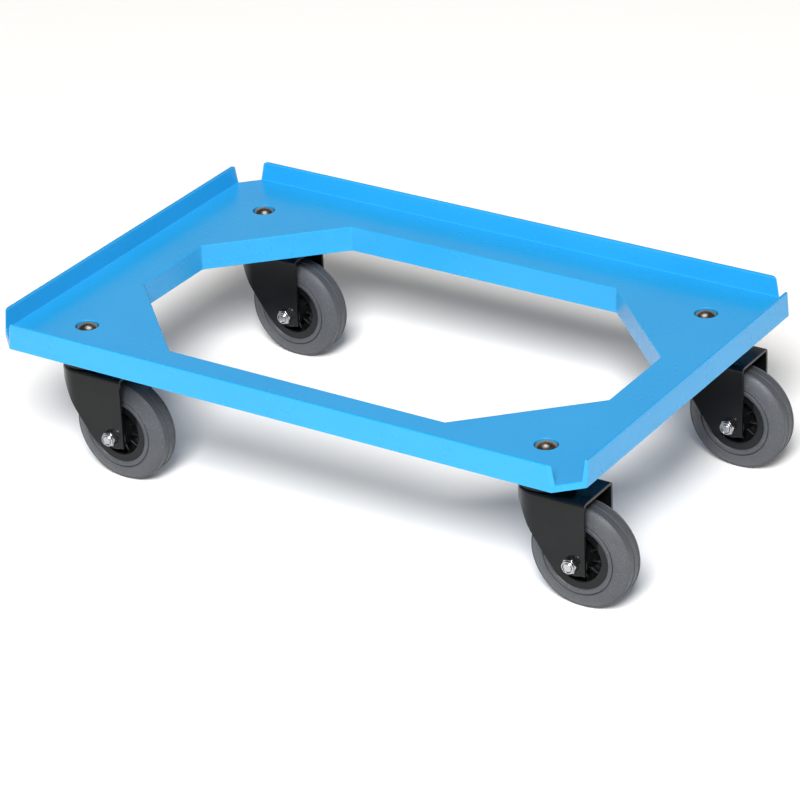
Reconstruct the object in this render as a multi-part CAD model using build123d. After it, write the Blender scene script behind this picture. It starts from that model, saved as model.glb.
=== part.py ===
"""Crate dolly: one moulded open frame on four swivel castors.

Millimetres, +Z up. The origin is on the floor, under the middle of the frame.
+X is the long side, and -Y is the front. All four castors trail towards +X.
"""

from build123d import *
import os
from math import atan2, cos, degrees, pi, sin

# Frame
deck_length = 620.0
deck_width = 420.0
rim_top = 166.0
deck_top = 146.5
skirt_bottom = 140.0
rim_thickness = 3.5
rim_top_thickness = 2.6
plate_thickness = 4.0
corner_cut_low = 22.0
corner_cut_high = 25.7
corner_radius = 2.2
rim_end_radius = 2.2
rim_edge_radius = 0.6
rim_root_radius = 1.5

# Opening in the middle of the frame, and the collar that hangs round it
band_width = 57.4
opening_cut = 105.0
collar_bottom = 121.0
collar_thickness = 4.0
opening_corner_radius = 3.0
opening_edge_radius = 1.2

# Ribs under the deck
rib_thickness = 3.0
rib_pitch = 46.0
rib_step = 3.0
spoke_rib_reach = 62.0

# Castor seats
castor_x = 246.0
castor_y = 146.0
seat_height = 125.0
seat_radius = 29.0
mounting_hole_radius = 5.3
bolt_recess_radius = 11.0
bolt_recess_depth = 2.6

# Mounting bolt, washer and nut: M10
mounting_bolt_radius = 5.0
bolt_head_radius = 10.3
bolt_head_height = 4.4
bolt_head_edge = 0.8
mounting_bolt_end = 93.0
mounting_washer_radius = 10.0
mounting_washer_thickness = 1.5
mounting_nut_flats = 17.0
mounting_nut_height = 6.0
thread_gap = 0.05
bolt_end_chamfer = 0.8
nut_chamfer_slope = 0.4

# Swivel head: hollow king sleeve, two ball races, cup above and race below
king_sleeve_radius = 8.5
running_gap = 0.08
upper_ball_radius = 3.0
upper_ball_pitch = 17.5
upper_ball_count = 15
lower_ball_radius = 2.5
lower_ball_pitch = 14.5
lower_ball_count = 14
groove_gap = 0.3
race_platform_radius = 21.0
race_platform_top = 115.0
cup_radius = 26.0
cup_wall = 1.4
cup_underside = 119.0
cup_bottom = 113.5
cup_shoulder_radius = 2.5
lower_race_radius = 20.0
lower_race_bottom = 102.0
lower_race_top = 104.5

# Fork: pressed sheet, round at the nose and open at the back
fork_half_width = 25.2
fork_sheet = 3.0
fork_top = 112.0
fork_bend_radius = 4.5
fork_back = 51.0
fork_bottom = 40.5
fork_nose_bottom = 97.0
fork_neck = (-16.0, 95.0)
fork_waist = (-7.0, 77.5)
fork_toe = (15.5, 45.5)
fork_heel = (20.5, 40.5)
fork_neck_radius = 8.0
fork_waist_radius = 14.0
fork_toe_radius = 3.5

# Axle: M8
axle_trail = 37.5
axle_radius = 4.0
axle_hole_radius = 4.2
axle_head_flats = 13.0
axle_head_height = 5.3
axle_nut_height = 7.0
axle_nut_collar_height = 2.2
axle_nut_collar_radius = 6.2
axle_nut_collar_edge = 0.8
axle_nut_turn = -10.0
axle_tip = 0.3
axle_sleeve_radius = 6.0
axle_sleeve_bore = 4.15
axle_sleeve_end_gap = 0.1

# Wheel
wheel_radius = 50.0
tyre_half_width = 14.6
rim_seat_radius = 29.6
rim_face = 13.3
rim_lip_radius = 22.0
rim_lip_edge = 1.6
hub_outer_radius = 13.5
hub_bore_radius = 9.05
hub_half_length = 21.8
web_half_thickness = 2.2
spoke_count = 10
spoke_thickness = 2.2
spoke_face = 9.5
tyre_bead = 5.7
sidewall_bulge = 0.7
tread_half_width = 8.2
tread_crown = 0.7
shoulder_radius = 1.2
roller_count = 10
roller_radius = 1.45
roller_pitch = 7.55
roller_half_length = 17.0
cage_half_length = 18.5
cage_bore_radius = 6.08
cage_outer_radius = 8.9
cage_pocket_gap = 0.15

half_length = deck_length / 2
half_width = deck_width / 2
opening_x = half_length - band_width
opening_y = half_width - band_width
recess_floor = deck_top - bolt_recess_depth

castors = {
    "front_left": (-castor_x, -castor_y),
    "front_right": (castor_x, -castor_y),
    "back_left": (-castor_x, castor_y),
    "back_right": (castor_x, castor_y),
}


def block(low, high):
    """A box between two opposite corners."""
    size = [b - a for a, b in zip(low, high)]
    middle = [(a + b) / 2 for a, b in zip(low, high)]
    return Pos(*middle) * Box(*size)


def column(radius, bottom, top, inner=0.0):
    """A round bar or tube standing on the Z axis."""
    bar = Pos(0, 0, bottom) * extrude(Circle(radius), top - bottom)
    if inner:
        bar -= Pos(0, 0, bottom - 1) * extrude(Circle(inner), top - bottom + 2)
    return bar


def across(radius, start, end, inner=0.0):
    """A round bar or tube along Y, at the axle's height and trail."""
    return Pos(axle_trail, 0, wheel_radius) * Rot(-90, 0, 0) * column(radius, start, end, inner)


def cut_rectangle(half_x, half_y, cut, bottom, height):
    """A plate whose four corners are cut at 45 degrees."""
    outline = Polygon(
        (-half_x + cut, -half_y), (half_x - cut, -half_y), (half_x, -half_y + cut),
        (half_x, half_y - cut), (half_x - cut, half_y), (-half_x + cut, half_y),
        (-half_x, half_y - cut), (-half_x, -half_y + cut), align=None,
    )
    return Pos(0, 0, bottom) * extrude(outline, height)


def cut_corners(body):
    """Cut the four corners at 45 degrees, leaning in slightly towards the top."""
    rise = rim_top - skirt_bottom
    lean = degrees(atan2((corner_cut_high - corner_cut_low) / 2**0.5, rise))
    reach = (half_length + half_width - corner_cut_low) / 2
    waste = block((0, -half_width, -rise), (half_width, half_width, 2 * rise))
    for sign_x in (-1, 1):
        for sign_y in (-1, 1):
            facing = degrees(atan2(sign_y, sign_x))
            foot = Pos(sign_x * reach, sign_y * reach, skirt_bottom)
            body -= foot * Rot(0, 0, facing) * Rot(0, -lean, 0) * waste
    return body


def tray():
    """The deck and the rim walls, which thin towards the top, with every end and edge rounded."""
    body = cut_corners(block((-half_length, -half_width, skirt_bottom), (half_length, half_width, rim_top)))
    rim_ends = [
        edge for edge in body.edges() if edge.center().Z > rim_top - 0.01 and edge.length < band_width
    ]
    body = fillet(rim_ends, rim_end_radius)
    upright = [edge for edge in body.edges() if abs(edge.tangent_at(0.5).Z) > 0.5]
    body = fillet(upright, corner_radius)
    draft = degrees(atan2(rim_thickness - rim_top_thickness, rim_top - deck_top))
    tray_floor = Rectangle(deck_length - 2 * rim_thickness, deck_width - 2 * rim_thickness)
    body -= Pos(0, 0, deck_top) * extrude(tray_floor, rim_top - deck_top + 1, taper=-draft)
    long_edges = [edge for edge in body.edges() if edge.length > deck_width / 2]
    body = fillet([edge for edge in long_edges if abs(edge.center().Z - deck_top) < 0.01], rim_root_radius)
    long_edges = [edge for edge in body.edges() if edge.length > deck_width / 2]
    return fillet([edge for edge in long_edges if edge.center().Z > rim_top - 0.01], rim_edge_radius)


def tapered_rib(start, end, start_bottom, end_bottom):
    """A rib under the deck that runs out along +X and gets shallower towards its far end."""
    top = deck_top - 1
    side = Polygon((start, top), (start, start_bottom), (end, end_bottom), (end, top), align=None)
    return Pos(0, rib_thickness / 2, 0) * Rot(90, 0, 0) * extrude(side, rib_thickness)


def ribs():
    """Ribs across the band, one long rib in the middle of each side, and spokes at each castor seat."""
    deep = collar_bottom + rib_step
    shallow = skirt_bottom + rib_step / 2
    middle = (deep + shallow) / 2
    long_side_rib = tapered_rib(opening_y + 1, half_width - 2, deep, shallow)
    short_side_rib = tapered_rib(opening_x + 1, half_length - 2, deep, shallow)
    spoke = tapered_rib(seat_radius - 2, spoke_rib_reach, seat_height + 4, shallow)
    long_rib = tapered_rib(-castor_x, castor_x, middle, middle)
    short_rib = tapered_rib(-castor_y, castor_y, middle, middle)
    rib_set = []
    for sign in (-1, 1):
        for index in range(-3, 4):
            rib_set.append(Pos(index * rib_pitch, 0, 0) * Rot(0, 0, sign * 90) * long_side_rib)
        for index in range(-1, 2):
            rib_set.append(Pos(0, index * rib_pitch, 0) * Rot(0, 0, 90 - sign * 90) * short_side_rib)
        rib_set.append(Pos(0, sign * (half_width - band_width / 2), 0) * long_rib)
        rib_set.append(Pos(sign * (half_length - band_width / 2), 0, 0) * Rot(0, 0, 90) * short_rib)
    for x, y in castors.values():
        rib_set += [Pos(x, y, 0) * Rot(0, 0, turn) * spoke for turn in range(0, 360, 45)]
    return rib_set


def corner_lips():
    """The skirt that closes each cut corner below the deck."""
    inner_x = half_length - rim_thickness
    inner_y = half_width - rim_thickness
    outer = cut_rectangle(half_length - 1, half_width - 1, corner_cut_low, skirt_bottom, plate_thickness)
    inner = cut_rectangle(
        inner_x, inner_y, corner_cut_low + rim_thickness, skirt_bottom - 1, plate_thickness + 2
    )
    return outer - inner


def deck_frame():
    """The one-piece moulding: tray, central opening with its collar, ribs and castor seats."""
    body = tray()
    body -= block(
        (-half_length + rim_thickness, -half_width + rim_thickness, skirt_bottom - 1),
        (half_length - rim_thickness, half_width - rim_thickness, deck_top - plate_thickness),
    )
    body += corner_lips()
    depth = deck_top - 1 - collar_bottom
    collar_cut = opening_cut + collar_thickness * (2 - 2**0.5)
    body += cut_rectangle(
        opening_x + collar_thickness, opening_y + collar_thickness, collar_cut, collar_bottom, depth
    )
    under_deck = cut_rectangle(half_length - 2, half_width - 2, corner_cut_low, collar_bottom, depth)
    for rib in ribs():
        body += rib & under_deck
    for x, y in castors.values():
        body += Pos(x, y, 0) * column(seat_radius, seat_height, deck_top - 1)
    opening = cut_rectangle(opening_x, opening_y, opening_cut, collar_bottom - 1, rim_top - collar_bottom)
    body -= fillet(opening.edges().filter_by(Axis.Z), opening_corner_radius)
    mouth = [
        edge
        for edge in body.edges()
        if abs(edge.center().Z - deck_top) < 0.01
        and abs(edge.center().X) < opening_x + 0.1
        and abs(edge.center().Y) < opening_y + 0.1
    ]
    body = fillet(mouth, opening_edge_radius)
    for x, y in castors.values():
        body -= Pos(x, y, 0) * column(mounting_hole_radius, seat_height - 1, rim_top)
        body -= Pos(x, y, 0) * column(bolt_recess_radius, recess_floor, rim_top)
    return body


def hexagon(flats, bottom, height, bore):
    """A chamfered hexagon nut standing on the Z axis."""
    nut = Pos(0, 0, bottom) * extrude(RegularPolygon(flats / 2, 6, major_radius=False), height)
    corner = flats / 3**0.5 + 0.1
    slope = nut_chamfer_slope * (corner - flats / 2)
    profile = Polygon(
        (0, bottom), (flats / 2, bottom), (corner, bottom + slope), (corner, bottom + height - slope),
        (flats / 2, bottom + height), (0, bottom + height), align=None,
    )
    nut &= revolve(Rot(90, 0, 0) * profile, Axis.Z)
    if bore:
        nut -= column(bore, bottom - 1, bottom + height + 1)
    return nut


def mounting_bolt():
    """A domed bolt: the head sits in its recess in the deck, and the shank runs down to the nut."""
    crown_radius = (bolt_head_radius**2 + (bolt_head_height - bolt_head_edge) ** 2) / (
        2 * (bolt_head_height - bolt_head_edge)
    )
    dome = Pos(0, 0, recess_floor + bolt_head_height - crown_radius) * Sphere(crown_radius)
    head = column(bolt_head_radius, recess_floor, recess_floor + bolt_head_height + 1) & dome
    shank = column(mounting_bolt_radius, mounting_bolt_end, recess_floor + 0.5)
    shank = chamfer(shank.edges().group_by(Axis.Z)[0], bolt_end_chamfer)
    return head + shank


def mounting_washer():
    bottom = lower_race_bottom - mounting_washer_thickness
    return column(mounting_washer_radius, bottom, lower_race_bottom, mounting_hole_radius)


def mounting_nut():
    bottom = lower_race_bottom - mounting_washer_thickness - mounting_nut_height
    return hexagon(mounting_nut_flats, bottom, mounting_nut_height, mounting_bolt_radius + thread_gap)


def ball_groove(pitch, radius, height):
    """The round track that a ring of balls runs in."""
    return Pos(0, 0, height) * Torus(pitch, radius + groove_gap)


def ball_ring(count, pitch, radius, height):
    """A ring of separate bearing balls."""
    balls = []
    for index in range(count):
        angle = 2 * pi * index / count
        balls.append(Pos(pitch * cos(angle), pitch * sin(angle), height) * Sphere(radius))
    return Compound(children=balls)


upper_ball_height = (race_platform_top + cup_underside) / 2
lower_ball_height = (lower_race_top + fork_top - fork_sheet) / 2


def race_cup():
    """The pressed cup under the castor seat: the upper race, with a skirt that keeps dirt out."""
    cup = column(cup_radius, cup_bottom, seat_height, king_sleeve_radius)
    cup -= column(cup_radius - cup_wall, cup_bottom - 1, cup_underside)
    cup -= ball_groove(upper_ball_pitch, upper_ball_radius, upper_ball_height)
    return fillet(cup.edges().group_by(Axis.Z)[-1].sort_by(SortBy.RADIUS)[-1], cup_shoulder_radius)


def king_sleeve():
    """The hollow king sleeve that the fork turns on."""
    return column(king_sleeve_radius, lower_race_bottom, seat_height, mounting_hole_radius)


def lower_race():
    """The ring that closes the swivel head from below."""
    race = column(lower_race_radius, lower_race_bottom, lower_race_top, king_sleeve_radius)
    return race - ball_groove(lower_ball_pitch, lower_ball_radius, lower_ball_height)


def fork_shell(inset, top):
    """The fork's outer shape, drawn in by inset: a round nose and straight cheeks."""
    width = fork_half_width - inset
    shell = column(width, fork_bottom - 1, top)
    shell += block((0, -width, fork_bottom - 1), (fork_back + inset, width, top))
    return shell


def fork_side_view():
    """The fork's outline seen from the side, as a solid as wide as the fork."""
    nose = -fork_half_width - 1
    outline = make_face(
        Polyline(
            (nose, fork_top + 1), (nose, fork_nose_bottom), fork_neck, fork_waist, fork_toe, fork_heel,
            (fork_back, fork_bottom), (fork_back, fork_top + 1), (nose, fork_top + 1),
        )
    )
    for (x, _), radius in (
        (fork_neck, fork_neck_radius), (fork_waist, fork_waist_radius),
        (fork_toe, fork_toe_radius), (fork_heel, fork_toe_radius),
    ):
        outline = fillet(outline.vertices().filter_by_position(Axis.X, x - 0.5, x + 0.5), radius)
    return Pos(0, fork_half_width + 1, 0) * Rot(90, 0, 0) * extrude(outline, 2 * fork_half_width + 2)


def fork():
    """The pressed fork, with the race platform formed in its crown."""
    outer = fork_shell(0.0, fork_top)
    crown_edges = [
        edge
        for edge in outer.edges()
        if abs(edge.center().Z - fork_top) < 0.01 and edge.center().X < fork_back - 0.1
    ]
    outer = fillet(crown_edges, fork_bend_radius)
    inner = fork_shell(fork_sheet, fork_top - fork_sheet)
    inner_edges = [
        edge
        for edge in inner.edges()
        if abs(edge.center().Z - fork_top + fork_sheet) < 0.01 and edge.center().X < fork_back - 0.1
    ]
    inner = fillet(inner_edges, fork_bend_radius - fork_sheet)
    sheet = (outer - inner) & fork_side_view()
    sheet += column(race_platform_radius, fork_top - 0.5, race_platform_top)
    sheet -= column(king_sleeve_radius + running_gap, fork_bottom, race_platform_top + 1)
    sheet -= ball_groove(upper_ball_pitch, upper_ball_radius, upper_ball_height)
    sheet -= ball_groove(lower_ball_pitch, lower_ball_radius, lower_ball_height)
    sheet -= across(axle_hole_radius, -fork_half_width - 1, fork_half_width + 1)
    return sheet


def axle_bolt():
    """A hexagon bolt, with its head at the back and its threaded end at the front."""
    end = fork_half_width + axle_nut_height + axle_tip
    shank = column(axle_radius, -end, fork_half_width + 0.5)
    shank = chamfer(shank.edges().group_by(Axis.Z)[0], bolt_end_chamfer)
    bolt = shank + hexagon(axle_head_flats, fork_half_width, axle_head_height, 0.0)
    return Pos(axle_trail, 0, wheel_radius) * Rot(-90, 0, 0) * bolt


def axle_nut():
    """A self-locking nut: a hexagon with a round collar at its outer end."""
    end = -fork_half_width - axle_nut_height
    shoulder = end + axle_nut_collar_height
    bore = axle_radius + thread_gap
    collar = column(axle_nut_collar_radius, end, shoulder + 1)
    collar = fillet(collar.edges().group_by(Axis.Z)[0], axle_nut_collar_edge)
    collar -= column(bore, end - 1, shoulder + 2)
    flats = hexagon(axle_head_flats, shoulder, -fork_half_width - shoulder, bore)
    nut = Rot(0, 0, axle_nut_turn) * flats + collar
    return Pos(axle_trail, 0, wheel_radius) * Rot(-90, 0, 0) * nut


def axle_sleeve():
    """The steel tube that the fork's cheeks are clamped against."""
    half = fork_half_width - fork_sheet - axle_sleeve_end_gap
    return across(axle_sleeve_radius, -half, half, axle_sleeve_bore)


def around_wheel(count, piece):
    """Copies of a piece spaced round the wheel's axis, each made about the Z axis."""
    copies = [Rot(0, 0, 360.0 * index / count) * piece for index in range(count)]
    return Pos(axle_trail, 0, wheel_radius) * Rot(-90, 0, 0) * Compound(children=copies)


def rollers():
    roller = Pos(roller_pitch, 0, 0) * column(roller_radius, -roller_half_length, roller_half_length)
    return around_wheel(roller_count, roller)


def roller_cage():
    cage = column(cage_outer_radius, -cage_half_length, cage_half_length, cage_bore_radius)
    pocket_end = roller_half_length + cage_pocket_gap
    pocket = Pos(roller_pitch, 0, 0) * column(roller_radius + cage_pocket_gap, -pocket_end, pocket_end)
    for index in range(roller_count):
        cage -= Rot(0, 0, 360.0 * index / roller_count) * pocket
    return Pos(axle_trail, 0, wheel_radius) * Rot(-90, 0, 0) * cage


def wheel_rim():
    """The black moulded wheel centre: hub, web, spokes and the ring that the tyre sits on."""
    centre = column(hub_outer_radius, -hub_half_length, hub_half_length)
    centre += column(rim_seat_radius, -web_half_thickness, web_half_thickness)
    centre += column(rim_seat_radius, -rim_face, rim_face, rim_lip_radius)
    spoke = block(
        (hub_outer_radius - 1, -spoke_thickness / 2, -spoke_face),
        (rim_lip_radius + 1, spoke_thickness / 2, spoke_face),
    )
    for index in range(spoke_count):
        centre += Rot(0, 0, 360.0 * index / spoke_count) * spoke
    lips = [
        edge
        for edge in centre.edges()
        if abs(abs(edge.center().Z) - rim_face) < 0.01 and edge.geom_type == GeomType.CIRCLE
        and abs(edge.radius - rim_lip_radius) < 0.01
    ]
    centre = fillet(lips, rim_lip_edge)
    centre -= column(hub_bore_radius, -hub_half_length - 1, hub_half_length + 1)
    return Pos(axle_trail, 0, wheel_radius) * Rot(-90, 0, 0) * centre


def tyre():
    """The solid rubber tyre: bead, sidewalls that draw in towards the tread, and a low crown."""
    side = (rim_seat_radius + tyre_bead, tyre_half_width)
    shoulder = (wheel_radius - tread_crown, tread_half_width)
    middle = ((side[0] + shoulder[0]) / 2 + sidewall_bulge, (side[1] + shoulder[1]) / 2 + sidewall_bulge)
    half_profile = [
        Line((rim_seat_radius, -rim_face), (rim_seat_radius, rim_face)),
        Line((rim_seat_radius, rim_face), (rim_seat_radius + tyre_half_width - rim_face, tyre_half_width)),
        Line((rim_seat_radius + tyre_half_width - rim_face, tyre_half_width), side),
        ThreePointArc(side, middle, shoulder),
        ThreePointArc(shoulder, (wheel_radius, 0), (shoulder[0], -shoulder[1])),
        ThreePointArc((shoulder[0], -shoulder[1]), (middle[0], -middle[1]), (side[0], -side[1])),
        Line((side[0], -side[1]), (rim_seat_radius + tyre_half_width - rim_face, -tyre_half_width)),
        Line((rim_seat_radius + tyre_half_width - rim_face, -tyre_half_width), (rim_seat_radius, -rim_face)),
    ]
    outline = make_face(half_profile)
    tread_corners = outline.vertices().filter_by_position(Axis.X, shoulder[0] - 0.1, shoulder[0] + 0.1)
    ring = revolve(Rot(90, 0, 0) * fillet(tread_corners, shoulder_radius), Axis.Z)
    return Pos(axle_trail, 0, wheel_radius) * Rot(-90, 0, 0) * ring


def at_each_castor(piece):
    return Compound(children=[Pos(x, y, 0) * piece for x, y in castors.values()])


castor_pieces = {
    "race_cup": race_cup(),
    "upper_balls": ball_ring(upper_ball_count, upper_ball_pitch, upper_ball_radius, upper_ball_height),
    "lower_balls": ball_ring(lower_ball_count, lower_ball_pitch, lower_ball_radius, lower_ball_height),
    "king_sleeve": king_sleeve(),
    "lower_race": lower_race(),
    "fork": fork(),
    "axle_bolt": axle_bolt(),
    "axle_nut": axle_nut(),
    "axle_sleeve": axle_sleeve(),
    "rollers": rollers(),
    "roller_cage": roller_cage(),
    "wheel_rim": wheel_rim(),
    "tyre": tyre(),
}

os.makedirs("parts", exist_ok=True)
export_step(deck_frame(), "parts/deck_frame.step")
export_step(at_each_castor(mounting_bolt()), "parts/mounting_bolts.step")
export_step(at_each_castor(mounting_washer()), "parts/mounting_washers.step")
export_step(at_each_castor(mounting_nut()), "parts/mounting_nuts.step")
for corner, (x, y) in castors.items():
    for name, piece in castor_pieces.items():
        export_step(Pos(x, y, 0) * piece, f"parts/{name}_{corner}.step")
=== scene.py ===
"""Crate dolly: a moulded open frame on four swivel castors with grey rubber tyres.

Metres, +Z up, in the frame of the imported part. -Y is the front and +X the right-hand end.
"""

from math import cos, pi, radians, sin

import bmesh
import bpy
from mathutils import Matrix, Vector


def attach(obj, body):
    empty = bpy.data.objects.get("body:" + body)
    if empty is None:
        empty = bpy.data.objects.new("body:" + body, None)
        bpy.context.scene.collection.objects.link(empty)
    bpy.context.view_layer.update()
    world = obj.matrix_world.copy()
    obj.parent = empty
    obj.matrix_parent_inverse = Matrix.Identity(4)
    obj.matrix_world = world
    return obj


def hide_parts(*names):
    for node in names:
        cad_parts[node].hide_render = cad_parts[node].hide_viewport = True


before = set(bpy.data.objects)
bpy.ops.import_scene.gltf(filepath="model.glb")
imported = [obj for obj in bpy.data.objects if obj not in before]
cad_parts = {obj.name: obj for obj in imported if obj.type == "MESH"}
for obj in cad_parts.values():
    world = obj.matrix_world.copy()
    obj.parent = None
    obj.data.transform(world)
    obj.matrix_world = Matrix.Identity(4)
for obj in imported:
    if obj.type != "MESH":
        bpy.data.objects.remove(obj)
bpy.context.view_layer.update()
MM = 0.001
scene = bpy.context.scene

# ---- Studio -------------------------------------------------------------------------------
# A long lens looks down on the front right-hand corner. The dolly stands on a large flat sheet of
# white paper. A large key light far behind the camera throws the shadows back to the left, a weak
# soft box hangs overhead, and the room has pale walls under a dim ceiling.

camera_azimuth = radians(33.30)
camera_elevation = radians(27.252)
camera_roll = radians(-2.290)
camera_place = (1.66877, -2.53839, 1.62702)
lens_per_sensor_width = 4.5742
sensor_width = 36
back = Vector((
    sin(camera_azimuth) * cos(camera_elevation),
    -cos(camera_azimuth) * cos(camera_elevation),
    sin(camera_elevation),
))
level = Vector((cos(camera_azimuth), sin(camera_azimuth), 0))
upward = back.cross(level)
right = level * cos(camera_roll) + upward * sin(camera_roll)
up = upward * cos(camera_roll) - level * sin(camera_roll)

camera = bpy.data.objects.new("camera", bpy.data.cameras.new("camera"))
camera.data.sensor_width = sensor_width
camera.data.lens = sensor_width * lens_per_sensor_width
camera.matrix_world = Matrix.Translation(camera_place) @ Matrix((right, up, back)).transposed().to_4x4()
scene.collection.objects.link(camera)
scene.camera = camera

scene.view_settings.view_transform = "Standard"


def soft_light(name, place, aim, size, watts):
    """A square soft box that faces the point it is aimed at."""
    lamp = bpy.data.lights.new(name, "AREA")
    lamp.shape = "SQUARE"
    lamp.size = size
    lamp.energy = watts
    box = bpy.data.objects.new(name, lamp)
    turn = (Vector(aim) - Vector(place)).to_track_quat("-Z", "Y").to_matrix().to_4x4()
    box.matrix_world = Matrix.Translation(place) @ turn
    scene.collection.objects.link(box)


key_distance, key_size, key_watts = 12.0, 3.9, 2150
toward_key = Vector((0.321, -0.657, 0.682))
soft_light("key_light", toward_key * key_distance, (0, 0, 0), key_size, key_watts)
overhead_place, overhead_aim, overhead_size, overhead_watts = (-0.35, 0.55, 2.5), (0, 0, 0.1), 0.9, 6
soft_light("overhead_light", overhead_place, overhead_aim, overhead_size, overhead_watts)

wall_top, ceiling_start = 0.40, 0.66
wall_strength, ceiling_strength = 0.52, 0.03
room_colour = (1, 0.95, 0.89, 1)

world = bpy.data.worlds.new("room")
world.use_nodes = True
room = world.node_tree
sky_point = room.nodes.new("ShaderNodeTexCoord").outputs["Generated"]
sky_height = room.nodes.new("ShaderNodeSeparateXYZ")
wall_to_ceiling = room.nodes.new("ShaderNodeMapRange")
wall_to_ceiling.interpolation_type = "SMOOTHSTEP"
wall_to_ceiling.inputs["From Min"].default_value = wall_top
wall_to_ceiling.inputs["From Max"].default_value = ceiling_start
wall_to_ceiling.inputs["To Min"].default_value = wall_strength
wall_to_ceiling.inputs["To Max"].default_value = ceiling_strength
room.links.new(sky_point, sky_height.inputs["Vector"])
room.links.new(sky_height.outputs["Z"], wall_to_ceiling.inputs["Value"])
room.links.new(wall_to_ceiling.outputs["Result"], room.nodes["Background"].inputs["Strength"])
room.nodes["Background"].inputs["Color"].default_value = room_colour
scene.world = world

floor_half, paper_colour, paper_roughness = 8, (0.96, 0.95, 0.935, 1), 0.9
sweep = bpy.data.meshes.new("floor")
bm = bmesh.new()
bmesh.ops.create_grid(bm, x_segments=2, y_segments=2, size=floor_half)
bm.to_mesh(sweep)
bm.free()
floor = bpy.data.objects.new("floor", sweep)
scene.collection.objects.link(floor)
floor_paper = bpy.data.materials.new("floor_paper")
floor_paper.use_nodes = True
floor_paper.node_tree.nodes["Principled BSDF"].inputs["Base Color"].default_value = paper_colour
floor_paper.node_tree.nodes["Principled BSDF"].inputs["Roughness"].default_value = paper_roughness
sweep.materials.append(floor_paper)

# ---- Frame --------------------------------------------------------------------------------
# One blue injection-moulded frame: a deck round a large opening, rim walls that stop at the
# cut corners, a collar under the opening, ribs below, and a boss for each castor.

length, width = 620 * MM, 420 * MM
rim_top, deck_top, skirt_bottom, collar_bottom = 165.99 * MM, 146.5 * MM, 140 * MM, 121 * MM
wall, rim_foot, rim_crest = 4 * MM, 3.5 * MM, 2.6 * MM
corner_cut_low, corner_cut_high = 22 * MM, 25.7 * MM
opening_x, opening_y, opening_cut = 252.6 * MM, 152.6 * MM, 105 * MM
castor_x, castor_y = 246 * MM, 146 * MM
seat_height, seat_radius = 125 * MM, 29 * MM
corners = {
    "front_left": (-castor_x, -castor_y),
    "front_right": (castor_x, -castor_y),
    "back_left": (-castor_x, castor_y),
    "back_right": (castor_x, castor_y),
}


def box_between(bm, low, high):
    """A closed box between two opposite corners. Returns its vertices."""
    low, high = Vector(low), Vector(high)
    size = Matrix.Diagonal((high - low).to_4d())
    return bmesh.ops.create_cube(bm, size=1, matrix=Matrix.Translation((low + high) / 2) @ size)["verts"]


def cut_box(half_x, half_y, cut, bottom, top):
    """A box whose four upright edges are cut at 45 degrees."""
    bm = bmesh.new()
    box_between(bm, (-half_x, -half_y, bottom), (half_x, half_y, top))
    upright = [e for e in bm.edges if abs((e.verts[0].co - e.verts[1].co).normalized().z) > 0.9]
    bmesh.ops.bevel(
        bm, geom=upright, offset=cut, offset_type="OFFSET", segments=1, profile=0.5, affect="EDGES",
        material=-1,
    )
    return bm


def drum(radius, bottom, top, steps=64, place=(0, 0)):
    """A closed round bar standing on end."""
    bm = bmesh.new()
    at = Matrix.Translation((place[0], place[1], (bottom + top) / 2))
    bmesh.ops.create_cone(
        bm, cap_ends=True, segments=steps, radius1=radius, radius2=radius, depth=top - bottom, matrix=at
    )
    return bm


def as_object(bm, name):
    """Turn a bmesh into an object in the scene."""
    mesh = bpy.data.meshes.new(name)
    bm.to_mesh(mesh)
    bm.free()
    made = bpy.data.objects.new(name, mesh)
    scene.collection.objects.link(made)
    return made


def settle(piece):
    """Apply the modifiers of a piece and drop them."""
    graph = bpy.context.evaluated_depsgraph_get()
    done = bpy.data.meshes.new_from_object(
        piece.evaluated_get(graph), preserve_all_data_layers=True, depsgraph=graph
    )
    piece.modifiers.clear()
    worn = piece.data
    piece.data = done
    bpy.data.meshes.remove(worn)


def carve(piece, tool_bm, operation="DIFFERENCE"):
    """Cut a tool out of a piece, or join it on, as one closed skin."""
    tool = as_object(tool_bm, "tool")
    step = piece.modifiers.new("carve", "BOOLEAN")
    step.operation = operation
    step.solver = "EXACT"
    step.use_self = True
    step.object = tool
    settle(piece)
    mesh = tool.data
    bpy.data.objects.remove(tool)
    bpy.data.meshes.remove(mesh)


def round_edges(piece, widest, share, segments=4):
    """Round edges: share gives each edge its part of the widest rounding, from 0 to 1."""
    bm = bmesh.new()
    bm.from_mesh(piece.data)
    bmesh.ops.remove_doubles(bm, verts=bm.verts, dist=1e-6)
    bmesh.ops.dissolve_limit(bm, angle_limit=radians(0.2), verts=bm.verts, edges=bm.edges)
    weight = bm.edges.layers.float.get("bevel_weight_edge") or bm.edges.layers.float.new("bevel_weight_edge")
    for edge in bm.edges:
        if len(edge.link_faces) == 2:
            edge[weight] = share(edge)
    bm.to_mesh(piece.data)
    bm.free()
    rounding = piece.modifiers.new("rounding", "BEVEL")
    rounding.width = widest
    rounding.segments = segments
    rounding.limit_method = "WEIGHT"
    rounding.offset_type = "OFFSET"
    rounding.miter_outer = "MITER_SHARP"
    rounding.use_clamp_overlap = False
    settle(piece)


def smooth_shading(piece, sharp):
    """Shade smooth, keep edges over the sharp angle crisp, and let flat faces stay flat."""
    mesh = piece.data
    mesh.polygons.foreach_set("use_smooth", [True] * len(mesh.polygons))
    bm = bmesh.new()
    bm.from_mesh(mesh)
    for edge in bm.edges:
        edge.smooth = not (len(edge.link_faces) == 2 and edge.calc_face_angle(0) > radians(sharp))
    bm.to_mesh(mesh)
    bm.free()
    even = piece.modifiers.new("even_normals", "WEIGHTED_NORMAL")
    even.keep_sharp = True
    even.weight = 50


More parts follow.
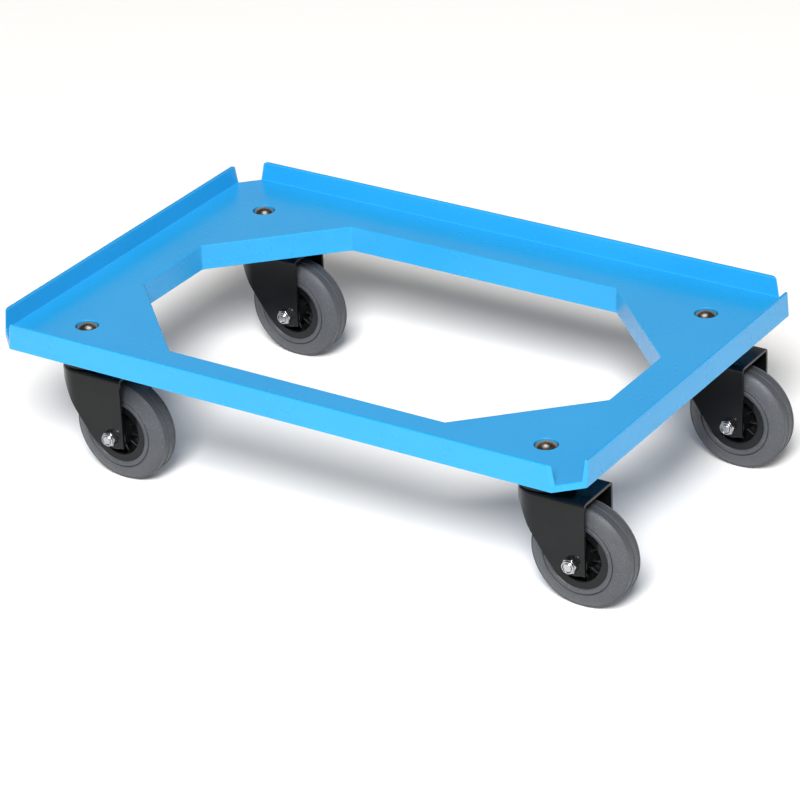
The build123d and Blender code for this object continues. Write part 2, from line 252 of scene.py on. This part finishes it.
body = cut_box(length / 2, width / 2, corner_cut_low, skirt_bottom, rim_top)
lean = (corner_cut_high - corner_cut_low) / (rim_top - skirt_bottom)
for sign_x in (-1, 1):
    for sign_y in (-1, 1):
        foot = Vector((sign_x * (length / 2 - corner_cut_low), sign_y * width / 2, skirt_bottom))
        bmesh.ops.bisect_plane(
            body, geom=body.verts[:] + body.edges[:] + body.faces[:], dist=1e-7, plane_co=foot,
            plane_no=(sign_x, sign_y, lean), clear_outer=True,
        )
        bmesh.ops.holes_fill(body, edges=[e for e in body.edges if e.is_boundary], sides=0)
deck_frame = as_object(body, "dolly_frame")

tray = bmesh.new()
spread = (rim_foot - rim_crest) * (rim_top + wall - deck_top) / (rim_top - deck_top)
for vert in box_between(
    tray, (rim_foot - length / 2, rim_foot - width / 2, deck_top),
    (length / 2 - rim_foot, width / 2 - rim_foot, rim_top + wall),
):
    if vert.co.z > rim_top:
        vert.co += Vector((spread if vert.co.x > 0 else -spread, spread if vert.co.y > 0 else -spread, 0))
carve(deck_frame, tray)
below = cut_box(
    length / 2 - wall, width / 2 - wall, corner_cut_low + wall, skirt_bottom - wall, deck_top - wall
)
carve(deck_frame, below)
collar_cut = opening_cut + wall * (2 - 2**0.5)
collar_block = cut_box(opening_x + wall, opening_y + wall, collar_cut, collar_bottom, deck_top - 1 * MM)
carve(deck_frame, collar_block, "UNION")

rib_half, rib_top = 1.5 * MM, deck_top - 1 * MM
rib_deep, rib_shallow = 124 * MM, 141.5 * MM
rib_pitch, rib_overlap, rib_end_gap = 46 * MM, 1 * MM, 2 * MM
long_rib_x, long_rib_y = 281.3 * MM, 181.3 * MM
boss_rib_start, boss_rib_end, boss_rib_deep = 27 * MM, 62 * MM, 129 * MM


def rib(bm, place, turn, start, end, start_bottom, end_bottom):
    """A rib that runs outwards from its place and gets shallower towards its end."""
    verts = box_between(bm, (start, -rib_half, start_bottom), (end, rib_half, rib_top))
    for vert in verts:
        if vert.co.x > (start + end) / 2 and vert.co.z < rib_top - 1e-6:
            vert.co.z = end_bottom
    bmesh.ops.transform(
        bm, verts=verts, matrix=Matrix.Translation((place[0], place[1], 0)) @ Matrix.Rotation(turn, 4, "Z")
    )


ribs = bmesh.new()
middle_bottom = (rib_deep + rib_shallow) / 2
for sign in (-1, 1):
    for index in range(-3, 4):
        rib(
            ribs, (index * rib_pitch, 0), sign * pi / 2, opening_y + rib_overlap, width / 2 - rib_end_gap,
            rib_deep, rib_shallow,
        )
    for index in range(-1, 2):
        rib(
            ribs, (0, index * rib_pitch), pi / 2 - sign * pi / 2, opening_x + rib_overlap,
            length / 2 - rib_end_gap, rib_deep, rib_shallow,
        )
    rib(ribs, (0, sign * long_rib_y), 0, -castor_x, castor_x, middle_bottom, middle_bottom)
    rib(ribs, (sign * long_rib_x, 0), pi / 2, -castor_y, castor_y, middle_bottom, middle_bottom)
for x, y in corners.values():
    for eighth in range(8):
        rib(ribs, (x, y), eighth * pi / 4, boss_rib_start, boss_rib_end, boss_rib_deep, rib_shallow)
carve(deck_frame, ribs, "UNION")
for x, y in corners.values():
    carve(deck_frame, drum(seat_radius, seat_height, rib_top, place=(x, y)), "UNION")
carve(deck_frame, cut_box(opening_x, opening_y, opening_cut, collar_bottom - MM, rim_top))

widest_rounding = 2.0
near = 0.02 * MM


def frame_rounding(edge):
    """How far each edge of the moulding is rounded, as a share of the widest rounding."""
    a, b = (vert.co for vert in edge.verts)
    if edge.calc_face_angle(0) < radians(5):
        return 0
    run = (b - a).normalized()
    mid = (a + b) / 2

    def at_height(z):
        return abs(a.z - z) < near and abs(b.z - z) < near

    def on_corner_plane(point):
        reach = abs(point.x) + abs(point.y) + lean * (point.z - skirt_bottom)
        return abs(reach - (length / 2 + width / 2 - corner_cut_low)) < near * 3

    in_opening = abs(mid.x) < opening_x + near and abs(mid.y) < opening_y + near
    on_corner = on_corner_plane(a) and on_corner_plane(b)
    rounding = 0
    if at_height(rim_top):
        rounding = 2.0 if on_corner else 0.8
    elif on_corner and abs(run.z) > 0.5:
        rounding = 1.0
    elif at_height(deck_top):
        if on_corner:
            rounding = 1.1
        elif in_opening:
            rounding = 1.2
        elif edge.calc_length() > 100 * MM:
            rounding = 1.5
    elif in_opening and abs(run.z) > 0.9:
        rounding = 1.25
    elif at_height(collar_bottom):
        rounding = 0.7
    elif at_height(skirt_bottom):
        rounding = 0.6
    return rounding / widest_rounding


round_edges(deck_frame, widest_rounding * MM, frame_rounding)


def spun(profile, steps, closed=True):
    """A round piece, spun from its outline of (radius, height) pairs in millimetres."""
    bm = bmesh.new()
    verts = [bm.verts.new((r * MM, 0, z * MM)) for r, z in profile]
    edges = [bm.edges.new(pair) for pair in zip(verts, verts[1:])]
    if closed:
        edges.append(bm.edges.new((verts[-1], verts[0])))
    bmesh.ops.spin(
        bm, geom=verts + edges, cent=(0, 0, 0), axis=(0, 0, 1), angle=2 * pi, steps=steps, use_merge=True
    )
    bmesh.ops.remove_doubles(bm, verts=bm.verts, dist=1e-7)
    bmesh.ops.recalc_face_normals(bm, faces=bm.faces)
    return bm


def arc(centre, radius, start, end, steps):
    """Points along an arc of an outline, in degrees."""
    turns = [radians(start + (end - start) * i / steps) for i in range(steps + 1)]
    return [(centre[0] + radius * cos(t), centre[1] + radius * sin(t)) for t in turns]


hole_radius, hole_start, recess_radius, recess_floor = 5.3, 124, 11.0, 143.9
lead_in_start, above_deck = 146.1, 147.5
seat_cutter = [(0, hole_start), (hole_radius, hole_start), (hole_radius, recess_floor - 0.3)]
seat_cutter += [(hole_radius + 0.3, recess_floor), (recess_radius - 0.3, recess_floor)]
seat_cutter += arc((recess_radius - 0.3, recess_floor + 0.3), 0.3, 270, 360, 3)
seat_cutter += [(recess_radius, lead_in_start), (recess_radius + above_deck - lead_in_start, above_deck)]
seat_cutter += [(0, above_deck)]
for x, y in corners.values():
    cutter = spun(seat_cutter, 72, closed=False)
    bmesh.ops.translate(cutter, verts=cutter.verts, vec=(x, y, 0))
    carve(deck_frame, cutter)


def in_triangles(piece):
    """Split every face into triangles, so that large faces with holes shade cleanly."""
    bm = bmesh.new()
    bm.from_mesh(piece.data)
    bmesh.ops.remove_doubles(bm, verts=bm.verts, dist=1e-6)
    bmesh.ops.dissolve_degenerate(bm, dist=1e-6, edges=bm.edges)
    bmesh.ops.triangulate(bm, faces=bm.faces, quad_method="BEAUTY", ngon_method="BEAUTY")
    bm.to_mesh(piece.data)
    bm.free()


in_triangles(deck_frame)
smooth_shading(deck_frame, sharp=40)


class Nodes:
    """Short names for building a material's nodes."""

    def __init__(self, name):
        self.material = bpy.data.materials.new(name)
        self.material.use_nodes = True
        self.tree = self.material.node_tree
        self.shader = self.tree.nodes["Principled BSDF"]
        self.place = self.add("ShaderNodeTexCoord").outputs["Object"]

    def add(self, kind, **settings):
        node = self.tree.nodes.new(kind)
        for key, value in settings.items():
            setattr(node, key, value)
        return node

    def join(self, source, target):
        self.tree.links.new(source, target)

    def stretched(self, scale, turn=(0, 0, 0)):
        """Object coordinates, stretched and turned."""
        mapping = self.add("ShaderNodeMapping")
        mapping.inputs["Scale"].default_value = scale
        mapping.inputs["Rotation"].default_value = turn
        self.join(self.place, mapping.inputs["Vector"])
        return mapping.outputs["Vector"]

    def noise(self, scale, detail=4.0, roughness=0.5, place=None):
        """A noise pattern, from 0 to 1."""
        noise = self.add("ShaderNodeTexNoise")
        noise.inputs["Scale"].default_value = scale
        noise.inputs["Detail"].default_value = detail
        noise.inputs["Roughness"].default_value = roughness
        self.join(place or self.place, noise.inputs["Vector"])
        return noise.outputs["Fac"]

    def fit(self, value, low, high, to_low, to_high, smooth=False):
        """Spread a value's range over another range."""
        spread = self.add("ShaderNodeMapRange", interpolation_type="SMOOTHSTEP" if smooth else "LINEAR")
        for name, number in (("From Min", low), ("From Max", high), ("To Min", to_low), ("To Max", to_high)):
            spread.inputs[name].default_value = number
        self.join(value, spread.inputs["Value"])
        return spread.outputs["Result"]

    def sum(self, first, second, operation="ADD"):
        """Two values, or a value and a number, joined by arithmetic."""
        joined = self.add("ShaderNodeMath", operation=operation)
        self.join(first, joined.inputs[0])
        if isinstance(second, float):
            joined.inputs[1].default_value = second
        else:
            self.join(second, joined.inputs[1])
        return joined.outputs["Value"]

    def mix(self, share, first, second):
        """A colour between two colours, each a triple or another colour output."""
        blend = self.add("ShaderNodeMix", data_type="RGBA")
        self.join(share, blend.inputs["Factor"])
        for socket, colour in ((blend.inputs["A"], first), (blend.inputs["B"], second)):
            if isinstance(colour, tuple):
                socket.default_value = (*colour, 1)
            else:
                self.join(colour, socket)
        return blend.outputs["Result"]

    def bump(self, height, distance, strength=1.0, under=None):
        """Raise the surface by a height pattern."""
        bump = self.add("ShaderNodeBump")
        bump.inputs["Strength"].default_value = strength
        bump.inputs["Distance"].default_value = distance
        self.join(height, bump.inputs["Height"])
        if under:
            self.join(under, bump.inputs["Normal"])
        return bump.outputs["Normal"]

    def finish(self, colour=None, roughness=None, normal=None, **values):
        """Feed the shader, and set its steady values on its own sockets."""
        for socket, source in (("Base Color", colour), ("Roughness", roughness), ("Normal", normal)):
            if source:
                self.join(source, self.shader.inputs[socket])
        for socket, number in values.items():
            self.shader.inputs[socket.replace("_", " ")].default_value = number
        return self.material


def sky_blue_moulding():
    """Glossy moulded blue plastic with a very fine grain and a few handling scuffs."""
    n = Nodes("sky_blue_moulding")
    cloud = n.noise(7, detail=3)
    colour = n.mix(n.fit(cloud, 0.3, 0.7, 0, 1), (0.014, 0.302, 0.640), (0.018, 0.322, 0.670))
    scuffs = n.noise(60, detail=6, roughness=0.65, place=n.stretched((1, 9, 3), (0, 0, 0.5)))
    colour = n.mix(n.fit(scuffs, 0.70, 0.82, 0, 0.14, smooth=True), colour, (0.07, 0.42, 0.75))
    roughness = n.sum(n.fit(n.noise(25, detail=5), 0.3, 0.7, 0.24, 0.29), n.fit(scuffs, 0.64, 0.8, 0, 0.08))
    grain = n.bump(n.noise(1400, detail=2), 0.01 * MM, 0.3)
    waves = n.bump(n.noise(14, detail=1), 0.4 * MM, 0.08, under=grain)
    return n.finish(colour, roughness, waves, IOR=1.5)


frame_blue = sky_blue_moulding()


def dress(piece, material, body=None, replaces=()):
    """Give a piece its material, the body that it rides on, and the CAD nodes that it stands for."""
    piece.data.materials.clear()
    piece.data.materials.append(material)
    if body:
        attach(piece, body)
        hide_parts(*replaces)


dress(deck_frame, frame_blue, "frame", ["deck_frame"])

# ---- Deck bolts ---------------------------------------------------------------------------
# Four domed M10 bolts of bright steel, each in a shallow recess in the deck. A washer and a
# nut hold them under the swivel head.


def bright_steel():
    """Bare steel, a little brown, with a fine grain and small dull patches."""
    n = Nodes("bright_steel")
    patch = n.noise(350, detail=5)
    colour = n.mix(n.fit(patch, 0.35, 0.7, 0, 1), (0.50, 0.465, 0.43), (0.38, 0.345, 0.315))
    roughness = n.fit(n.noise(900, detail=3), 0.3, 0.7, 0.20, 0.32)
    return n.finish(colour, roughness, n.bump(n.noise(2500, detail=2), 0.01 * MM, 0.4), Metallic=1.0)


def zinc_plate():
    """Bright zinc plating with a faint cool and warm cloud."""
    n = Nodes("zinc_plate")
    colour = n.mix(n.fit(n.noise(160, detail=3), 0.3, 0.7, 0, 1), (0.58, 0.59, 0.60), (0.46, 0.47, 0.48))
    roughness = n.fit(n.noise(700, detail=4), 0.3, 0.7, 0.14, 0.30)
    return n.finish(colour, roughness, n.bump(n.noise(1800, detail=2), 0.01 * MM, 0.5), Metallic=1.0)


bolt_steel, zinc = bright_steel(), zinc_plate()

dome_rise, head_radius, head_edge = 4.0, 10.75, 0.8
dome_radius = (head_radius**2 + dome_rise**2) / (2 * dome_rise)
head_top = recess_floor + head_edge + dome_rise
head_profile = [(0, head_top)]
for index in range(1, 13):
    radius = (head_radius - 0.2) * index / 12
    head_profile.append((radius, head_top - dome_radius + (dome_radius**2 - radius**2) ** 0.5))
head_profile += [(head_radius, recess_floor + head_edge - 0.2), (head_radius, recess_floor + 0.1)]
head_profile += [(head_radius - 0.1, recess_floor)]
shank_radius, thread_root, thread_start, thread_step, tip = 5.0, 4.55, 103.5, 0.75, 93.0
shank_profile = [(shank_radius, recess_floor), (shank_radius, thread_start + 0.5)]
for index in range(7):
    shank_profile.append((thread_root if index % 2 else shank_radius, thread_start - thread_step * index))
shank_profile += [(thread_root, tip + 2.0), (shank_radius, tip + 1.3), (shank_radius, tip + 0.8)]
shank_profile += [(4.2, tip), (0, tip)]
mounting_bolts = bmesh.new()
for x, y in corners.values():
    one = spun(head_profile + shank_profile, 64, closed=False)
    bmesh.ops.translate(one, verts=one.verts, vec=(x, y, 0))
    part = bpy.data.meshes.new("bolt")
    one.to_mesh(part)
    one.free()
    mounting_bolts.from_mesh(part)
    bpy.data.meshes.remove(part)
mounting_bolts = as_object(mounting_bolts, "deck_bolts")
smooth_shading(mounting_bolts, sharp=30)
dress(mounting_bolts, bolt_steel, "frame", ["mounting_bolts"])
for name in ("mounting_washers", "mounting_nuts"):
    dress(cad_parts[name], zinc)

# ---- Forks --------------------------------------------------------------------------------
# Pressed steel forks, round at the nose and open at the back, powder-coated black. The
# cheeks narrow to the axle, and the ball race platform is pressed up in the crown.

fork_half_width, fork_sheet, fork_top, fork_back = 25.2 * MM, 3.0 * MM, 112 * MM, 51 * MM
outer_bend, inner_bend = 4.5 * MM, 1.5 * MM
blank_bottom, hollow_bottom = 39.5 * MM, 38 * MM
axle_trail, axle_height, axle_hole_radius = 37.5 * MM, 50 * MM, 4.2 * MM
to_axle = Matrix.Translation((axle_trail, 0, axle_height)) @ Matrix.Rotation(-pi / 2, 4, "X")
king_hole = 8.58


def round_nosed(half_width, back_end, bottom, top, bend):
    """A closed block with a round nose, and a rounded edge along its top."""
    bm = bmesh.new()
    box_between(bm, (0, -half_width, bottom), (back_end, half_width, top))
    block = as_object(bm, "block")
    carve(block, drum(half_width, bottom, top, steps=96), "UNION")
    bm = bmesh.new()
    bm.from_mesh(block.data)
    bpy.data.objects.remove(block)
    bmesh.ops.remove_doubles(bm, verts=bm.verts, dist=1e-6)
    bmesh.ops.dissolve_limit(bm, angle_limit=radians(0.2), verts=bm.verts, edges=bm.edges)
    crown_edges = [
        e for e in bm.edges
        if all(abs(v.co.z - top) < 1e-6 for v in e.verts) and any(v.co.x < back_end - 1e-6 for v in e.verts)
    ]
    bmesh.ops.bevel(
        bm, geom=crown_edges, offset=bend, offset_type="OFFSET", segments=8, profile=0.5, affect="EDGES",
        material=-1,
    )
    return bm


def side_shape(points, roundings, half_width):
    """A block with the outline seen from the side, with its chosen corners rounded."""
    bm = bmesh.new()
    verts = [bm.verts.new((x * MM, 0, z * MM)) for x, z in points]
    bm.faces.new(verts)
    bm.verts.ensure_lookup_table()
    for index, radius in roundings:
        bmesh.ops.bevel(
            bm, geom=[verts[index]], offset=radius * MM, offset_type="OFFSET", segments=6, profile=0.5,
            affect="VERTICES", material=-1,
        )
    bmesh.ops.translate(bm, verts=bm.verts, vec=(0, half_width, 0))
    grown = bmesh.ops.extrude_face_region(bm, geom=bm.faces[:])
    moved = [g for g in grown["geom"] if isinstance(g, bmesh.types.BMVert)]
    bmesh.ops.translate(bm, verts=moved, vec=(0, -2 * half_width, 0))
    bmesh.ops.recalc_face_normals(bm, faces=bm.faces)
    return bm


def sharper_than(degrees):
    """A rounding rule that breaks every edge over this angle."""
    return lambda edge: 1.0 if edge.calc_face_angle(0) > radians(degrees) else 0.0


fork = as_object(round_nosed(fork_half_width, fork_back, blank_bottom, fork_top, outer_bend), "fork")
hollow = round_nosed(
    fork_half_width - fork_sheet, fork_back + 3 * MM, hollow_bottom, fork_top - fork_sheet, inner_bend
)
carve(fork, hollow)
fork_outline = [
    (-27, 114), (-27, 97), (-16, 95), (-7, 77.5), (15.5, 45.5), (20.5, 40.5), (51, 40.5), (51, 114),
]
carve(fork, side_shape(fork_outline, ((2, 3.5), (3, 3.0), (4, 1.4), (5, 1.4)), 30 * MM), "INTERSECT")
platform = [(king_hole, 115), (14.8, 115), *arc((17.5, 117), 3.3, 217, 323, 8), (20.3, 115)]
platform += [(21, 114.5), (21, 111), (king_hole, 111)]
carve(fork, drum(king_hole * MM, 100 * MM, 116 * MM))
carve(fork, spun(platform, 96), "UNION")
axle_hole = drum(axle_hole_radius, -30 * MM, 30 * MM, steps=48)
bmesh.ops.transform(axle_hole, verts=axle_hole.verts, matrix=to_axle)
carve(fork, axle_hole)
round_edges(fork, 0.35 * MM, sharper_than(50), segments=2)
smooth_shading(fork, sharp=35)
settle(fork)


def black_powder_coat():
    """Glossy black powder coat with a faint orange-peel texture."""
    n = Nodes("black_powder_coat")
    cloud = n.fit(n.noise(90, detail=4), 0.3, 0.7, 0, 1)
    colour = n.mix(cloud, (0.003, 0.0035, 0.0038), (0.005, 0.0058, 0.006))
    dust = n.noise(420, detail=6, roughness=0.7)
    colour = n.mix(n.fit(dust, 0.66, 0.85, 0, 0.2, smooth=True), colour, (0.05, 0.052, 0.055))
    roughness = n.fit(n.noise(220, detail=4), 0.3, 0.7, 0.13, 0.19)
    peel = n.bump(n.noise(900, detail=2), 0.015 * MM, 0.3)
    return n.finish(colour, roughness, peel, IOR=1.36)


powder_coat = black_powder_coat()


def at_every_corner(piece, name, material, group, node):
    """Copy a castor piece, made about the swivel axis, to all four corners."""
    for corner, (x, y) in corners.items():
        copy = bpy.data.objects.new(f"{name}_{corner}", piece.data.copy())
        scene.collection.objects.link(copy)
        copy.data.transform(Matrix.Translation((x, y, 0)))
        dress(copy, material, f"{group}_{corner}", [f"{node}_{corner}"])
    bpy.data.objects.remove(piece)


at_every_corner(fork, "castor_fork", powder_coat, "swivel", "fork")

# ---- Swivel heads -------------------------------------------------------------------------
# A pressed cup under each boss, two rings of balls, a lower race and the hollow king sleeve.
# They are turned and pressed steel, greased inside.


def ball_steel():
    """Polished bearing steel under a film of grease."""
    n = Nodes("ball_steel")
    colour = n.mix(n.fit(n.noise(240, detail=3), 0.3, 0.7, 0, 1), (0.62, 0.61, 0.58), (0.50, 0.48, 0.44))
    roughness = n.fit(n.noise(500, detail=4), 0.3, 0.7, 0.10, 0.24)
    return n.finish(colour, roughness, n.bump(n.noise(1200, detail=2), 0.01 * MM, 0.3), Metallic=1.0)


bearing_steel = ball_steel()
for corner in corners:
    dress(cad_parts[f"race_cup_{corner}"], powder_coat)
    for name in ("king_sleeve", "lower_race"):
        dress(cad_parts[f"{name}_{corner}"], zinc)
    for name in ("upper_balls", "lower_balls", "rollers"):
        dress(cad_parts[f"{name}_{corner}"], bearing_steel)

# ---- Axles --------------------------------------------------------------------------------
# A zinc-plated M8 bolt through each fork, its head at the back and a self-locking nut with a
# round collar at the front, clamping the cheeks on a tube that the wheel's rollers run on.


flats, metal_rounding = 13.0, 0.2 * MM


def hexagon(start, end):
    """A hexagon nut or head standing on end, with turned chamfers on both faces."""
    corner_radius, chamfer = flats / 3**0.5, 0.9
    piece = as_object(drum(corner_radius * MM, start * MM, end * MM, steps=6), "hexagon")
    outline = [(0, start), (flats / 2 - 0.25, start), (corner_radius + 0.4, start + chamfer)]
    outline += [(corner_radius + 0.4, end - chamfer), (flats / 2 - 0.25, end), (0, end)]
    carve(piece, spun(outline, 96, closed=False), "INTERSECT")
    return piece


nut_end, nut_shoulder, nut_face, nut_turn = -32.2, -30.0, -25.2, radians(20)
nut = hexagon(nut_shoulder, nut_face)
nut.data.transform(Matrix.Rotation(nut_turn, 4, "Z"))
round_edges(nut, metal_rounding, sharper_than(20), segments=2)
collar = [(0, nut_face - 1), (5.9, nut_face - 1), (5.9, nut_shoulder + 0.1)]
collar += [(6.05, nut_shoulder - 0.15), (6.2, nut_shoulder - 0.4), *arc((5.3, nut_end + 0.9), 0.9, 0, -90, 6)]
collar += [(5.05, nut_end), (4.9, nut_end + 0.2), (4.9, nut_end + 1.6), (0, nut_end + 1.6)]
carve(nut, spun(collar, 64, closed=False), "UNION")
carve(nut, drum(4.05 * MM, nut_end * MM - MM, nut_face * MM + MM, steps=48))
smooth_shading(nut, sharp=40)
settle(nut)
nut.data.transform(to_axle)
at_every_corner(nut, "axle_nut_piece", zinc, "swivel", "axle_nut")

bolt_head = hexagon(25.2, 30.5)
round_edges(bolt_head, metal_rounding, sharper_than(20), segments=2)
shank_end = -32.5
shank = [(0, shank_end), (3.3, shank_end), (3.75, shank_end + 0.2), (4.0, shank_end + 0.6)]
shank += [(3.4 if i % 2 else 4.0, shank_end + 0.9 + 0.625 * i) for i in range(13)]
shank += [(4.0, -22.0), (4.0, 26.0), (0, 26.0)]
carve(bolt_head, spun(shank, 64, closed=False), "UNION")
smooth_shading(bolt_head, sharp=40)
settle(bolt_head)
bolt_head.data.transform(to_axle)
at_every_corner(bolt_head, "axle_bolt_piece", zinc, "swivel", "axle_bolt")
for corner in corners:
    dress(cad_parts[f"axle_sleeve_{corner}"], zinc)

# ---- Wheel centres ------------------------------------------------------------------------
# Black moulded polypropylene: a hub, a thin web stiffened by ten ribs, and a deep ring that
# the tyre is moulded on, with a round lip.


def satin_black_moulding():
    """Black moulded plastic, satin, with faint flow marks."""
    n = Nodes("satin_black_moulding")
    cloud = n.fit(n.noise(60, detail=4), 0.3, 0.7, 0, 1)
    colour = n.mix(cloud, (0.004, 0.0045, 0.005), (0.007, 0.0075, 0.008))
    roughness = n.fit(n.noise(140, detail=5), 0.3, 0.7, 0.13, 0.20)
    return n.finish(colour, roughness, n.bump(n.noise(1300, detail=2), 0.02 * MM, 0.35), IOR=1.36)


def cage_moulding():
    """Off-white moulded nylon of the roller cage."""
    n = Nodes("cage_moulding")
    colour = n.mix(n.fit(n.noise(120, detail=3), 0.3, 0.7, 0, 1), (0.62, 0.58, 0.48), (0.54, 0.50, 0.41))
    roughness = n.fit(n.noise(300, detail=4), 0.3, 0.7, 0.36, 0.52)
    return n.finish(colour, roughness, n.bump(n.noise(900, detail=2), 0.02 * MM, 0.4), IOR=1.5)


wheel_black, cage_nylon = satin_black_moulding(), cage_moulding()


def mirrored(half):
    """An outline's outer half, joined to its mirror image through the wheel's middle."""
    return half + [(r, -z) for r, z in reversed(half)]


centre_half = [(9.05, 21.8), (12.9, 21.8), (13.5, 21.2), (13.5, 4.2), (14.8, 2.5), (20.8, 2.2), (22.0, 3.4)]
centre_half += [*arc((23.6, 11.7), 1.6, 180, 90, 8), *arc((29.2, 12.9), 0.4, 90, 0, 3)]
rim = as_object(spun(mirrored(centre_half), 128), "rim")
spoke_count = 10
spokes = bmesh.new()
for index in range(spoke_count):
    blade = box_between(spokes, (12.8 * MM, -1.1 * MM, -9.5 * MM), (22.6 * MM, 1.1 * MM, 9.5 * MM))
    for vert in blade:
        if vert.co.x > 20 * MM:
            vert.co.z *= 0.9
    bmesh.ops.rotate(spokes, verts=blade, matrix=Matrix.Rotation(2 * pi * index / spoke_count, 3, "Z"))
carve(rim, spokes, "UNION")
rim.data.transform(to_axle)
round_edges(rim, 0.4 * MM, sharper_than(60), segments=2)
smooth_shading(rim, sharp=35)
settle(rim)
at_every_corner(rim, "wheel_centre", wheel_black, "wheel", "wheel_rim")
for corner in corners:
    dress(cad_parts[f"roller_cage_{corner}"], cage_nylon)

# ---- Tyres --------------------------------------------------------------------------------
# Solid grey rubber moulded round the wheel centre: a smooth bead beside the rim, a groove,
# matt sidewalls that draw in to the tread, and raised moulding lines round tread and shoulders.


def grey_rubber():
    """Non-marking grey rubber, matt, finely mottled, with pale mineral specks."""
    n = Nodes("grey_rubber")
    colour = n.mix(n.fit(n.noise(45, detail=4), 0.3, 0.7, 0, 1), (0.054, 0.059, 0.067), (0.065, 0.070, 0.080))
    mottle = n.noise(1000, detail=3, roughness=0.7)
    colour = n.mix(n.fit(mottle, 0.30, 0.52, 0.6, 0, smooth=True), colour, (0.030, 0.033, 0.038))
    specks = n.noise(1050, detail=2, roughness=0.6)
    colour = n.mix(n.fit(specks, 0.62, 0.72, 0, 0.7, smooth=True), colour, (0.21, 0.225, 0.245))
    roughness = n.fit(n.noise(260, detail=5), 0.3, 0.7, 0.38, 0.52)
    grain = n.bump(n.noise(800, detail=4, roughness=0.65), 0.14 * MM, 0.6)
    return n.finish(colour, roughness, grain, IOR=1.5)


rubber = grey_rubber()
bead = [(29.6, 12.9), (29.8, 13.6), (30.4, 14.25), (31.4, 14.55), (33.0, 14.6), (33.8, 14.5), (34.2, 14.2)]
groove = [(34.35, 12.9), (35.1, 12.9), (35.2, 13.9), (35.6, 14.4)]
tyre_half = bead + groove
sidewall_start, sidewall_end, bulge = Vector((35.6, 14.4)), Vector((48.6, 8.75)), 0.8
outwards, sidewall_steps = Vector((0.416, 0.909)), 12
for index in range(1, sidewall_steps):
    share = index / sidewall_steps
    swell = outwards * bulge * 4 * share * (1 - share)
    tyre_half.append(tuple(sidewall_start.lerp(sidewall_end, share) + swell))
shoulder_line = [(48.6, 8.75), (48.7, 9.0), (49.1, 9.05), (49.45, 8.85), (49.65, 8.5), (49.7, 8.1)]
shoulder_line += [(49.6, 7.85), (48.85, 7.7)]
tread = [(48.85, 7.4), (49.0, 5.5), (49.1, 3.0), (49.1, 0.9)]
centre_line = [(49.83, 0.8), (49.97, 0.55)]
tyre_half += shoulder_line + tread + centre_line
tyre = as_object(spun(mirrored(tyre_half), 160), "tyre")
tyre.data.transform(to_axle)
smooth_shading(tyre, sharp=60)
settle(tyre)
at_every_corner(tyre, "rubber_tyre", rubber, "wheel", "tyre")
